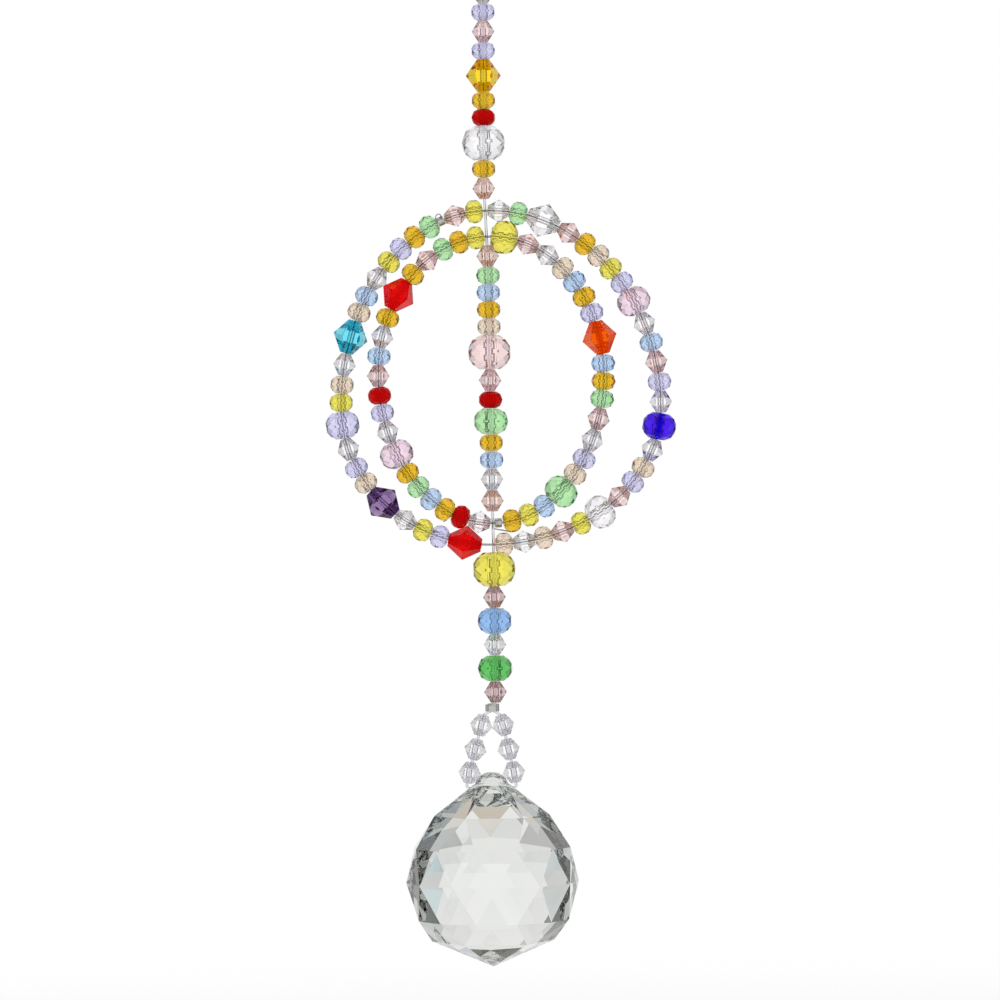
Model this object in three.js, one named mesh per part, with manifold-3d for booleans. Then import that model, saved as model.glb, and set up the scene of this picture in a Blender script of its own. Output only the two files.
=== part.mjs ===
// A crystal suncatcher: a thread of cut glass beads that hangs from a metal ring, passes in front of
// two oval rings of beads, one inside the other, and carries a thirty-millimetre cut crystal ball.
// Millimetres, +Z up, front towards -Y. The origin is where a hook would touch the hanging ring.

import * as THREE from 'three';
import { mergeVertices } from 'three/addons/utils/BufferGeometryUtils.js';
import Module from 'manifold-3d';

const wasm = await Module();
wasm.setup();

// ---------------------------------------------------------------- driving dimensions

const threadRadius = 0.25;
const ringWireRadius = 0.22;
const beadClearance = 0.25; // from one bead of the strand to the next
const boreClearance = 0.3; // all round the thread, inside a bead

// Cut glass beads. Pitch is the length of thread that a bead takes up.
// End is the flat at each end of the bore, as a share of the bead's width.
const beadKinds = {
  smallBicone: { across: 4.1, pitch: 3.85, end: 0.42, sides: 6, cut: 'bicone' },
  smallRondelle: { across: 4.2, pitch: 3.05, end: 0.5, sides: 8, cut: 'rondelle' },
  bicone: { across: 6.3, pitch: 5.8, end: 0.36, sides: 6, cut: 'bicone' },
  rondelle: { across: 6.1, pitch: 4.6, end: 0.48, sides: 8, cut: 'rondelle' },
  largeRondelle: { across: 7.7, pitch: 6.1, end: 0.48, sides: 8, cut: 'rondelle' },
};

// The oval bead rings hold more beads than the strand, so there each bead has six sides, with its
// flats towards the other ring. It's a little wider, so that its flats lie where a round girdle would.
const ringBeadSides = 6;
const ringBeadSwell = 1.05;

const hangingRing = { middleRadius: 4.4, wireRadius: 0.6 };
const hangingLoop = { turnRadius: 1.25, height: 6.2, curve: 1.5, tail: 0.1, meet: 0.4 };
const threadsMeet = 1.1; // bare thread between the upper crimp and the first bead
const crimp = { width: 2.5, depth: 1.7, length: 1.4, wall: 0.42, threadSpacing: 0.66 };
const wireCrimp = { radius: 0.9, length: 1.25 };

// Bare thread in front of the two bead rings, above and below the middle run of beads.
const upperCrossing = 8.2;
const lowerCrossing = 7.2;

// How far the hand-strung thread wanders sideways, at the ends of its runs of beads.
const sidewaysSet = { top: 0, aboveRings: -0.45, ringTop: 0.1, ringBottom: 0.45, low: 0.6, drop: -0.3 };

// The oval rings: half-sizes of the wire's line from its centre, and that centre from the strand.
// Below is how far the wire's highest point lies under the lowest bead above the rings. The wires
// pass just behind the thread, and each ring leans back from there and has turned a few degrees.
const outerOval = {
  right: 30.5, left: 26.6, up: 35, down: 24.6,
  aside: 0.2, below: 2.0, setBack: 0.8, lean: 2.1, turn: -2,
};
const innerOval = {
  right: 20.05, left: 20.3, up: 24.4, down: 26.7,
  aside: 0.6, below: 6.6, setBack: 1.15, lean: 0.6, turn: 5,
};

// The drop loop, on each side: how far out and how far down its beads are, and how they lean. The
// thread bends above the first bead, and turns into the ball's neck in four points that are counted
// out from the last bead and up from the bore.
const dropLoop = { spread: [1.95, 2.95, 3.95], drop: [2.45, 6.75, 10.85], lean: [15, 12, 9], height: 13.7 };
const loopShoulder = { inwards: 0.5, above: 1.85 };
const neckTurn = [[0.42, 0.75], [0.52, 0.2], [0.12, 0], [-0.48, 0]];
const ballBoreRadius = 0.65;
const ballBoreHeight = 16.8;

// The cut ball, from its point up: rings of corners, each with its radius and its height.
// Turn is the place of the first corner in degrees, with 0 at the front.
const ballRows = [
  { radius: 0, height: -14.9, corners: 1, turn: 0 },
  { radius: 10.9, height: -10.3, corners: 6, turn: 30 },
  { radius: 13.8, height: -6.4, corners: 12, turn: 15 },
  { radius: 15.4, height: 0.2, corners: 12, turn: 0 },
  { radius: 14.2, height: 6.4, corners: 12, turn: 15 },
  { radius: 10.3, height: 12.0, corners: 6, turn: 30 },
  { radius: 3.05, height: 17.65, corners: 12, turn: 0 },
  { radius: 2.85, height: 18.4, corners: 12, turn: 0 },
  { radius: 1.9, height: 19.2, corners: 12, turn: 0 },
  { radius: 0, height: 19.5, corners: 1, turn: 0 },
];
const ballTurn = 3; // degrees that the hung ball has turned about its thread

// Bare wire on the oval rings, between the beads and the thread or the crimps.
const bareWire = {
  besideThread: 0.15, besideCrimp: 0.1, pastCrimp: 0.2, besideInnerCrimp: 0.25, atRuby: 2,
};

// ---------------------------------------------------------------- finishes

const glassColours = {
  clear: '#eef0f2',
  lavender: '#bfb9f0',
  pink: '#e6c4c4',
  dusty: '#cba0a0',
  peach: '#ecc4b8',
  gold: '#e0a21a',
  amber: '#f2b010',
  garnet: '#b8000f',
  green: '#8fdc8a',
  emerald: '#4fb85a',
  blue: '#9dc2ee',
  azure: '#6da0e8',
  champagne: '#dfc4a4',
  yellow: '#e8de4a',
  aqua: '#2ab4d8',
  ruby: '#f01010',
  orange: '#f44a08',
  cobalt: '#2d08d2',
  purple: '#553070',
  orchid: '#e6c6dc',
};

/** A glass finish in one of the bead colours. */
function glass(colour) {
  return new THREE.MeshStandardMaterial({ color: glassColours[colour], roughness: 0.05, metalness: 0 });
}

const silver = new THREE.MeshStandardMaterial({ color: '#c9ccd1', roughness: 0.25, metalness: 1 });
const threadFinish = new THREE.MeshStandardMaterial({ color: '#c4c8ce', roughness: 0.35, metalness: 0.2 });

// ---------------------------------------------------------------- the order of the beads

const b = 'smallBicone';
const r = 'smallRondelle';
const B = 'bicone';
const R = 'rondelle';
const L = 'largeRondelle';

// The strand, from the hanging ring down to the upper crossing.
const upperRun = [
  [r, 'champagne'], [b, 'clear'], [r, 'lavender'], [b, 'clear'],
  [B, 'clear'], [b, 'clear'], [r, 'champagne'], [b, 'clear'],
  [r, 'lavender'], [b, 'pink'], [r, 'lavender'], [B, 'amber'], [r, 'gold'],
  [r, 'garnet'], [L, 'clear'], [r, 'gold'], [b, 'peach'],
];

// The strand between the two crossings, inside the rings.
const middleRun = [
  [b, 'peach'], [r, 'green'], [r, 'blue'], [r, 'gold'], [r, 'champagne'],
  [L, 'pink'], [b, 'pink'], [r, 'garnet'], [R, 'green'], [r, 'gold'],
  [r, 'blue'], [b, 'clear'], [b, 'peach'],
];

// The strand below the rings.
const lowerRun = [[L, 'yellow'], [b, 'dusty'], [R, 'azure'], [b, 'clear'], [R, 'emerald'], [b, 'dusty']];

// The outer ring, clockwise from the upper crossing as seen from the front.
const outerRight = [
  [b, 'clear'], [r, 'green'], [B, 'clear'], [b, 'pink'], [r, 'gold'], [r, 'champagne'],
  [r, 'yellow'], [r, 'lavender'], [R, 'orchid'], [b, 'clear'], [r, 'blue'], [b, 'pink'],
  [r, 'lavender'], [b, 'clear'], [R, 'cobalt'], [b, 'clear'], [r, 'champagne'],
  [r, 'lavender'], [b, 'pink'], [R, 'clear'], [r, 'yellow'], [b, 'pink'],
  [r, 'champagne'], [b, 'clear'], [r, 'champagne'],
];
const outerLeft = [
  [B, 'ruby'], [r, 'lavender'], [r, 'yellow'], [b, 'clear'], [B, 'purple'],
  [r, 'champagne'], [r, 'lavender'], [b, 'clear'], [R, 'lavender'], [r, 'yellow'],
  [r, 'champagne'], [b, 'clear'], [B, 'aqua'], [r, 'champagne'], [r, 'blue'],
  [b, 'clear'], [r, 'yellow'], [r, 'lavender'], [r, 'gold'], [r, 'green'],
];
const outerLast = [[b, 'pink'], [r, 'yellow']]; // past the crimp

// The inner ring, clockwise from the upper crossing.
const innerRight = [
  [R, 'yellow'], [b, 'pink'], [b, 'clear'], [r, 'champagne'], [r, 'blue'],
  [r, 'gold'], [r, 'lavender'], [B, 'orange'], [r, 'blue'], [r, 'gold'],
  [r, 'green'], [b, 'pink'], [b, 'clear'], [r, 'lavender'], [r, 'champagne'],
  [R, 'green'], [r, 'blue'], [r, 'yellow'], [r, 'gold'],
];
const innerLeft = [
  [b, 'clear'], [r, 'garnet'], [r, 'gold'], [r, 'blue'], [r, 'green'],
  [r, 'gold'], [R, 'orchid'], [b, 'clear'], [r, 'lavender'], [r, 'garnet'],
  [b, 'pink'], [r, 'blue'], [b, 'clear'], [r, 'gold'], [B, 'ruby'],
  [r, 'gold'], [b, 'pink'], [r, 'green'], [r, 'gold'], [r, 'yellow'],
];

// ---------------------------------------------------------------- faceted surfaces

/** Corners evenly round the Z axis; the turn in degrees is measured from the front, -Y. */
function cornerRow(radius, height, corners, turn = 0) {
  const row = [];
  for (let i = 0; i < corners; i += 1) {
    const angle = THREE.MathUtils.degToRad(turn - 90 + (360 * i) / corners);
    const point = new THREE.Vector3(radius * Math.cos(angle), radius * Math.sin(angle), height);
    row.push({ angle: THREE.MathUtils.degToRad(turn + (360 * i) / corners), point });
  }
  return row;
}

/** The corner of a row that follows index i, with its angle counted on past a full turn. */
function nextAngle(row, i) {
  return row[i % row.length].angle + 2 * Math.PI * Math.floor(i / row.length);
}

/** Fills the band between two rows of corners with triangles that face away from the axis. */
function stitch(below, above, triangles) {
  const sidesBelow = below.length > 1 ? below.length : 0;
  const sidesAbove = above.length > 1 ? above.length : 0;
  let i = 0;
  let j = 0;
  while (i < sidesBelow || j < sidesAbove) {
    const middleBelow = nextAngle(below, i) + nextAngle(below, i + 1);
    const middleAbove = nextAngle(above, j) + nextAngle(above, j + 1);
    const here = below[i % below.length].point;
    const over = above[j % above.length].point;
    if (j >= sidesAbove || (i < sidesBelow && middleBelow <= middleAbove + 1e-6)) {
      i += 1;
      triangles.push(here, below[i % below.length].point, over);
    } else {
      j += 1;
      triangles.push(here, above[j % above.length].point, over);
    }
  }
}

/** A closed body from rows of corners; a bored body's rows run on down the bore to the first row. */
function bodyFromRows(rows, endless) {
  const triangles = [];
  for (let i = 0; i + 1 < rows.length; i += 1) {
    stitch(rows[i], rows[i + 1], triangles);
  }
  if (endless) {
    stitch(rows[rows.length - 1], rows[0], triangles);
  }
  return new THREE.BufferGeometry().setFromPoints(triangles);
}

/**
 * The rows of one bead from its lower end to its upper, about its own middle.
 * A bicone is two pyramids base to base. A rondelle has upright lozenges round its waist, with kites
 * that rise from between them to the flat end; it's flat on each facet where the lozenge is as high
 * as the waist's corners stand out.
 */
function beadRows(kind, length, sides) {
  const radius = kind.across / 2;
  const endRadius = radius * kind.end;
  const half = length / 2;
  const betweenCorners = 180 / sides;
  if (kind.cut === 'bicone') {
    return [
      { radius: endRadius, height: -half, turn: betweenCorners },
      { radius, height: 0, turn: betweenCorners },
      { radius: endRadius, height: half, turn: betweenCorners },
    ];
  }
  const flat = Math.cos(Math.PI / sides);
  const lozengeHalf = (half * (1 - flat * flat)) / (1 - kind.end);
  return [
    { radius: endRadius, height: -half, turn: betweenCorners },
    { radius: radius * flat, height: -lozengeHalf, turn: 0 },
    { radius, height: 0, turn: betweenCorners },
    { radius: radius * flat, height: lozengeHalf, turn: 0 },
    { radius: endRadius, height: half, turn: betweenCorners },
  ];
}

/** One bored bead, upright on the Z axis. */
function boredBead(kindName, extraTurn = 0) {
  const kind = beadKinds[kindName];
  const length = kind.pitch - beadClearance;
  const boreRadius = threadRadius + boreClearance;
  const turn = 180 / kind.sides + extraTurn;
  const rows = beadRows(kind, length, kind.sides).map((row) =>
    cornerRow(row.radius, row.height, kind.sides, row.turn + extraTurn)
  );
  rows.push(cornerRow(boreRadius, length / 2, kind.sides, turn));
  rows.push(cornerRow(boreRadius, -length / 2, kind.sides, turn));
  return bodyFromRows(rows, true);
}

// ---------------------------------------------------------------- threads and wires

/** A route made of curves laid end to end, each with its own number of steps. */
class Route extends THREE.Curve {
  constructor(stretches) {
    super();
    this.stretches = stretches;
    this.steps = stretches.reduce((sum, [, steps]) => sum + steps, 0);
  }

  getPoint(t) {
    let step = THREE.MathUtils.clamp(t, 0, 1) * this.steps;
    for (const [curve, steps] of this.stretches) {
      if (step <= steps) {
        return curve.getPoint(step / steps);
      }
      step -= steps;
    }
    return this.stretches[this.stretches.length - 1][0].getPoint(1);
  }

  getPointAt(u) {
    return this.getPoint(u);
  }

  getTangentAt(u) {
    return this.getTangent(u);
  }
}

const line = (from, to) => [new THREE.LineCurve3(from, to), 1];
const bend = (from, first, second, to, steps) => [
  new THREE.CubicBezierCurve3(from, first, second, to),
  steps,
];

/** A round bar along a route. */
function barAlong(route, radius, sides) {
  const section = new THREE.Shape();
  for (let i = 0; i < sides; i += 1) {
    const angle = (2 * Math.PI * i) / sides;
    const x = radius * Math.cos(angle);
    const y = radius * Math.sin(angle);
    if (i === 0) {
      section.moveTo(x, y);
    } else {
      section.lineTo(x, y);
    }
  }
  section.closePath();
  const options = { extrudePath: route, steps: route.steps, bevelEnabled: false, curveSegments: 1 };
  return new THREE.ExtrudeGeometry(section, options);
}

/** A crimp for two threads side by side: a short tube of flattened section, upright. */
function flatCrimp() {
  const outline = (shape, width, depth) => {
    const straight = (width - depth) / 2;
    shape.absarc(straight, 0, depth / 2, -Math.PI / 2, Math.PI / 2, false);
    shape.absarc(-straight, 0, depth / 2, Math.PI / 2, (3 * Math.PI) / 2, false);
    shape.closePath();
    return shape;
  };
  const tube = outline(new THREE.Shape(), crimp.width, crimp.depth);
  const slot = outline(new THREE.Path(), crimp.width - 2 * crimp.wall, crimp.depth - 2 * crimp.wall);
  tube.holes.push(slot);
  const options = { depth: crimp.length, bevelEnabled: false, curveSegments: 6 };
  return new THREE.ExtrudeGeometry(tube, options).translate(0, 0, -crimp.length / 2);
}

/** A round crimp on a single wire, upright. */
function roundCrimp() {
  const inside = ringWireRadius + boreClearance;
  const half = wireCrimp.length / 2;
  const profile = [
    new THREE.Vector2(inside, -half),
    new THREE.Vector2(wireCrimp.radius, -half),
    new THREE.Vector2(wireCrimp.radius, half),
    new THREE.Vector2(inside, half),
    new THREE.Vector2(inside, -half),
  ];
  return new THREE.LatheGeometry(profile, 10).rotateX(Math.PI / 2);
}

// ---------------------------------------------------------------- levels down the strand

const runLength = (run) => run.reduce((sum, [kind]) => sum + beadKinds[kind].pitch, 0);

// The origin is at the inside top of the hanging ring.
const ringCentre = -(hangingRing.middleRadius - hangingRing.wireRadius);
const ringFoot = ringCentre - hangingRing.middleRadius;
const topCrimpMiddle = ringFoot - hangingLoop.height;
const upperStart = topCrimpMiddle - crimp.length / 2 - threadsMeet;
const upperEnd = upperStart - runLength(upperRun);
const middleStart = upperEnd - upperCrossing;
const middleEnd = middleStart - runLength(middleRun);
const lowerStart = middleEnd - lowerCrossing;
const lowerEnd = lowerStart - runLength(lowerRun);
const dropCrimpMiddle = lowerEnd - crimp.length / 2 - beadClearance / 2;
const dropStart = dropCrimpMiddle - crimp.length / 2;
const ballCentre = dropStart - dropLoop.height - ballBoreHeight;

// The thread's line down the strand, as pairs of height and sideways place.
const threadKnees = [
  [topCrimpMiddle, sidewaysSet.top],
  [upperEnd, sidewaysSet.aboveRings],
  [middleStart, sidewaysSet.ringTop],
  [middleEnd, sidewaysSet.ringBottom],
  [lowerStart, sidewaysSet.low],
  [lowerEnd, sidewaysSet.low],
  [dropCrimpMiddle, 0],
];

/** How far the two sides of the drop loop have swung sideways at a depth below its crimp. */
function dropAside(depth) {
  return (sidewaysSet.drop * Math.max(depth, 0)) / dropLoop.height;
}

/** The thread's sideways place at a height. */
function threadAside(height) {
  for (let i = 0; i + 1 < threadKnees.length; i += 1) {
    const [high, from] = threadKnees[i];
    const [low, to] = threadKnees[i + 1];
    if (height >= low) {
      return THREE.MathUtils.lerp(from, to, THREE.MathUtils.clamp((high - height) / (high - low), 0, 1));
    }
  }
  return threadKnees[threadKnees.length - 1][1];
}

// ---------------------------------------------------------------- the oval bead rings

/** The wire's line of an oval ring: four quarter-ellipses, clockwise from the top. */
class Oval {
  constructor(sizes) {
    this.sizes = sizes;
    this.centreHeight = upperEnd - sizes.below - sizes.up;
    this.table = [];
    const steps = 720;
    let length = 0;
    let last = this.at(0);
    for (let i = 0; i <= steps; i += 1) {
      const angle = (2 * Math.PI * i) / steps;
      const point = this.at(angle);
      length += point.distanceTo(last);
      this.table.push({ angle, length, point });
      last = point;
    }
    this.length = length;
  }

  at(angle) {
    const x = Math.sin(angle);
    const z = Math.cos(angle);
    const across = x > 0 ? this.sizes.right : this.sizes.left;
    const upright = z > 0 ? this.sizes.up : this.sizes.down;
    return new THREE.Vector3(this.sizes.aside + across * x, 0, this.centreHeight + upright * z);
  }

  /** The place and direction of the wire at a length along it. */
  along(length) {
    const wanted = ((length % this.length) + this.length) % this.length;
    let i = 1;
    while (this.table[i].length < wanted && i + 1 < this.table.length) {
      i += 1;
    }
    const from = this.table[i - 1];
    const to = this.table[i];
    const share = (wanted - from.length) / (to.length - from.length);
    const angle = THREE.MathUtils.lerp(from.angle, to.angle, share);
    const small = 0.002;
    const direction = this.at(angle + small).sub(this.at(angle - small)).normalize();
    return { point: this.at(angle), direction };
  }

  /** The length along the wire at which it crosses the thread, at the top or at the foot. */
  crossing(atTop) {
    const half = this.table.filter(({ angle }) => (atTop ? Math.cos(angle) > 0 : Math.cos(angle) < 0));
    const offThread = ({ point }) => Math.abs(point.x - threadAside(point.z));
    const nearest = half.reduce((best, entry) => (offThread(entry) < offThread(best) ? entry : best));
    return atTop && nearest.length > this.length / 2 ? nearest.length - this.length : nearest.length;
  }
}

/** A row of corners square to the wire, for a closed chain of beads and bare wire. */
function rowOnWire(place, radius, turn) {
  const { point, direction } = place;
  const outwards = new THREE.Vector3(0, 1, 0).cross(direction).normalize();
  const back = direction.clone().cross(outwards).normalize();
  return cornerRow(radius, 0, ringBeadSides, turn + 180 / ringBeadSides).map((corner) => ({
    angle: corner.angle,
    point: point
      .clone()
      .addScaledVector(outwards, corner.point.x)
      .addScaledVector(back, corner.point.y),
  }));
}

/** The width of a bead's flat end. */
function endWidth(kindName) {
  return beadKinds[kindName].across * beadKinds[kindName].end;
}

/**
 * One oval ring as a closed chain. Each stretch is a run of beads that fills the wire between two
 * lengths along it, end to end; between the stretches the wire is bare.
 */
function beadRing(oval, stretches) {
  const rows = [];
  const straightTurn = 180 / ringBeadSides;
  for (const { from, to, beads } of stretches) {
    const ease = (to - from) / runLength(beads);
    let reached = from;
    rows.push(rowOnWire(oval.along(from), ringWireRadius, straightTurn));
    beads.forEach(([kindName], index) => {
      const kind = beadKinds[kindName];
      const length = kind.pitch * ease;
      const middle = oval.along(reached + length / 2);
      const shape = beadRows(kind, length, ringBeadSides);
      const sameEnd = index > 0 && Math.abs(endWidth(beads[index - 1][0]) - endWidth(kindName)) < 1e-6;
      shape.forEach((row, i) => {
        const isEnd = i === 0 || i === shape.length - 1;
        const point = middle.point.clone().addScaledVector(middle.direction, row.height);
        const inside = { point, direction: middle.direction };
        const place = isEnd ? oval.along(reached + length / 2 + row.height) : inside;
        if (i > 0 || !sameEnd) {
          rows.push(rowOnWire(place, row.radius * ringBeadSwell, row.turn));
        }
      });
      reached += length;
    });
    rows.push(rowOnWire(oval.along(to), ringWireRadius, straightTurn));
  }
  return bodyFromRows(rows, true);
}

// ---------------------------------------------------------------- the cut ball

/** Turns a closed mesh into a manifold solid. */
function solidOf(geometry) {
  const bare = geometry.clone();
  bare.deleteAttribute('normal');
  bare.deleteAttribute('uv');
  const merged = mergeVertices(bare, 1e-5);
  const triVerts = Uint32Array.from(merged.index.array);
  const vertProperties = Float32Array.from(merged.attributes.position.array);
  return new wasm.Manifold(new wasm.Mesh({ numProp: 3, vertProperties, triVerts }));
}

/** Turns a manifold solid back into a mesh. */
function geometryOf(solid) {
  const { vertProperties, triVerts } = solid.getMesh();
  const geometry = new THREE.BufferGeometry();
  geometry.setAttribute('position', new THREE.BufferAttribute(vertProperties, 3));
  geometry.setIndex(new THREE.BufferAttribute(triVerts, 1));
  return geometry;
}

/** The ball with its neck, bored from side to side for the thread. */
function crystalBall() {
  const rows = ballRows.map((row) => cornerRow(row.radius, row.height, row.corners, row.turn));
  const ball = bodyFromRows(rows, false).rotateZ(THREE.MathUtils.degToRad(ballTurn));
  const bore = new THREE.CylinderGeometry(ballBoreRadius, ballBoreRadius, 40, 10);
  bore.rotateZ(Math.PI / 2).translate(0, 0, ballBoreHeight);
  return geometryOf(solidOf(ball).subtract(solidOf(bore)));
}

// ---------------------------------------------------------------- assembly

const suncatcher = new THREE.Group();

/** Adds a named piece at a place, leaning in the plane of the rings by an angle in degrees. */
function addPiece(name, geometry, finish, place = [0, 0, 0], lean = 0, parent = suncatcher) {
  const piece = new THREE.Mesh(geometry, finish);
  piece.name = name;
  piece.position.set(...place);
  piece.rotation.y = THREE.MathUtils.degToRad(lean);
  parent.add(piece);
}

const hanger = new THREE.TorusGeometry(hangingRing.middleRadius, hangingRing.wireRadius, 8, 28);
addPiece('hanging_ring', hanger.rotateX(Math.PI / 2), silver, [0, 0, ringCentre]);
addPiece('hanging_loop_crimp', flatCrimp().rotateZ(Math.PI / 2), silver, [0, 0, topCrimpMiddle]);
addPiece('drop_crimp', flatCrimp(), silver, [0, 0, dropCrimpMiddle]);

// The handles of a curve that draws a quarter of a circle, as a share of its radius.
const quarterTurn = 0.5523;

/** The thread, from its end in the upper crimp, over the hanging ring, down, and round the drop loop. */
function threadRoute() {
  const at = (x, y, z) => new THREE.Vector3(x, y, z);
  const apart = crimp.threadSpacing / 2;
  const turn = hangingLoop.turnRadius;
  const arc = quarterTurn * turn;
  const { curve, meet } = hangingLoop;
  const crimpTop = topCrimpMiddle + crimp.length / 2;
  const crimpFoot = topCrimpMiddle - crimp.length / 2 - hangingLoop.tail;
  const rise = (side) => [
    at(0, side * apart, crimpTop),
    at(0, side * apart, crimpTop + curve),
    at(0, side * turn, ringFoot - curve),
    at(0, side * turn, ringFoot),
  ];
  const over = (side) => [
    at(0, side * turn, ringFoot),
    at(0, side * turn, ringFoot + arc),
    at(0, side * arc, ringFoot + turn),
    at(0, 0, ringFoot + turn),
  ];
  const meeting = [
    at(0, -apart, crimpFoot),
    at(0, -apart, crimpFoot - meet),
    at(0, 0, upperStart + meet),
    at(0, 0, upperStart),
  ];
  const stretches = [
    line(at(0, apart, crimpFoot), at(0, apart, crimpTop)),
    bend(...rise(1), 4),
    bend(...over(1), 3),
    bend(...over(-1).reverse(), 3),
    bend(...rise(-1).reverse(), 4),
    line(at(0, -apart, crimpTop), at(0, -apart, crimpFoot)),
    bend(...meeting, 3),
  ];
  const strand = threadKnees.slice(1, -1).map(([height, aside]) => at(aside, 0, height));
  let last = at(0, 0, upperStart);
  for (const knee of strand) {
    stretches.push(line(last, knee));
    last = knee;
  }
  const side = (sign, x, z) => at(sign * x + dropAside(z), 0, dropStart - z);
  const [near, middle, far] = dropLoop.spread;
  const [first, second, third] = dropLoop.drop;
  const { inwards, above } = loopShoulder;
  const entry = ballCentre + ballBoreHeight;
  const turnIn = (sign) =>
    neckTurn.map(([out, up]) => at(sign * (far + out) + sidewaysSet.drop, 0, entry + up));
  const leg = (sign) => [
    [side(sign, apart, -crimp.length), side(sign, apart, 0)],
    [side(sign, apart, 0), side(sign, near - inwards, first - above)],
    [side(sign, near - inwards, first - above), side(sign, near, first)],
    [side(sign, near, first), side(sign, middle, second)],
    [side(sign, middle, second), side(sign, far, third)],
    [side(sign, far, third), turnIn(sign)[0]],
  ];
  stretches.push(line(last, side(1, apart, -crimp.length)));
  leg(1).forEach(([from, to]) => stretches.push(line(from, to)));
  stretches.push(bend(...turnIn(1), 3));
  stretches.push(line(turnIn(1)[3], turnIn(-1)[3]));
  stretches.push(bend(...turnIn(-1).reverse(), 3));
  leg(-1).reverse().forEach(([from, to]) => stretches.push(line(to, from)));
  return new Route(stretches);
}

addPiece('strand_thread', barAlong(threadRoute(), threadRadius, 6), threadFinish);

/** Strings a run of bored beads on the thread, downwards from a height. */
function stringRun(run, start, firstNumber) {
  let height = start;
  run.forEach(([kindName, colour], index) => {
    const pitch = beadKinds[kindName].pitch;
    const middle = height - pitch / 2;
    const number = String(firstNumber + index).padStart(2, '0');
    const name = `strand_${number}_${colour}_${beadKinds[kindName].cut}`;
    addPiece(name, boredBead(kindName), glass(colour), [threadAside(middle), 0, middle]);
    height -= pitch;
  });
}

stringRun(upperRun, upperStart, 1);
stringRun(middleRun, middleStart, upperRun.length + 1);
stringRun(lowerRun, lowerStart, upperRun.length + middleRun.length + 1);

const dropBeadTurn = 30; // degrees, so that facets and not corners face the other side of the loop

for (const [sideName, sign] of [['right', 1], ['left', -1]]) {
  dropLoop.spread.forEach((spread, index) => {
    const depth = dropLoop.drop[index];
    const place = [sign * spread + dropAside(depth), 0, dropStart - depth];
    const bead = boredBead('smallBicone', dropBeadTurn);
    const name = `drop_${sideName}_bead_${index + 1}`;
    addPiece(name, bead, glass('clear'), place, -sign * dropLoop.lean[index]);
  });
}

addPiece('crystal_ball', crystalBall(), glass('clear'), [sidewaysSet.drop, 0, ballCentre]);

const outer = new Oval(outerOval);
const inner = new Oval(innerOval);
const besideThread = threadRadius + bareWire.besideThread;

/** Hangs an oval ring just behind the thread, leaning back from its top. */
function hangRing(name, oval, stretches, colour, crimpAt) {
  const group = new THREE.Group();
  const top = oval.along(oval.crossing(true)).point.z;
  group.position.set(0, oval.sizes.setBack, top);
  group.rotation.x = THREE.MathUtils.degToRad(oval.sizes.lean);
  group.rotation.z = THREE.MathUtils.degToRad(oval.sizes.turn);
  const ring = beadRing(oval, stretches).translate(0, 0, -top);
  addPiece(name, ring, glass(colour), [0, 0, 0], 0, group);
  const { point, direction } = oval.along(crimpAt);
  const lean = THREE.MathUtils.radToDeg(Math.atan2(direction.x, direction.z));
  addPiece(`${name}_crimp`, roundCrimp(), silver, [point.x, 0, point.z - top], lean, group);
  suncatcher.add(group);
}

const outerTop = outer.crossing(true);
const outerFoot = outer.crossing(false);
const outerEnd = outer.length + outerTop - besideThread;
const outerCrimpAt = outerEnd - runLength(outerLast) - bareWire.pastCrimp - wireCrimp.length / 2;
const besideOuterCrimp = wireCrimp.length / 2 + bareWire.besideCrimp;
const outerStretches = [
  { from: outerTop + besideThread, to: outerFoot - besideThread, beads: outerRight },
  { from: outerFoot + bareWire.atRuby, to: outerCrimpAt - besideOuterCrimp, beads: outerLeft },
  { from: outerCrimpAt + besideOuterCrimp, to: outerEnd, beads: outerLast },
];
hangRing('outer_ring', outer, outerStretches, 'clear', outerCrimpAt);

const innerTop = inner.crossing(true);
const innerFoot = inner.crossing(false);
const innerCrimpAt = innerFoot - besideThread - wireCrimp.length / 2;
const besideInnerCrimp = wireCrimp.length / 2 + bareWire.besideInnerCrimp;
const innerStart = innerTop + besideThread + bareWire.pastCrimp;
const innerEnd = inner.length + innerTop - besideThread - bareWire.besideThread;
const innerStretches = [
  { from: innerStart, to: innerCrimpAt - besideInnerCrimp, beads: innerRight },
  { from: innerFoot + besideThread, to: innerEnd, beads: innerLeft },
];
hangRing('inner_ring', inner, innerStretches, 'yellow', innerCrimpAt);

export default suncatcher;
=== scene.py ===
"""Looks of a crystal suncatcher: cut glass beads, thread and wires, crimps and a cut crystal ball.

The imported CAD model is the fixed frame. Each bead is a stone of its own, cut as flat facets between
level rows of corners and bored through, and it stands where the CAD model strings it. Pieces are cut
in millimetres and then settled in the frame, which is in metres: +Z up, the front towards -Y, and the
origin where a hook touches the hanging ring.
"""

import logging
import math
import random
from dataclasses import dataclass, field, replace
from enum import Enum
from functools import cache
from typing import Callable, Sequence

import bpy
from mathutils import Matrix, Vector
from mathutils.geometry import interpolate_bezier


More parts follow.
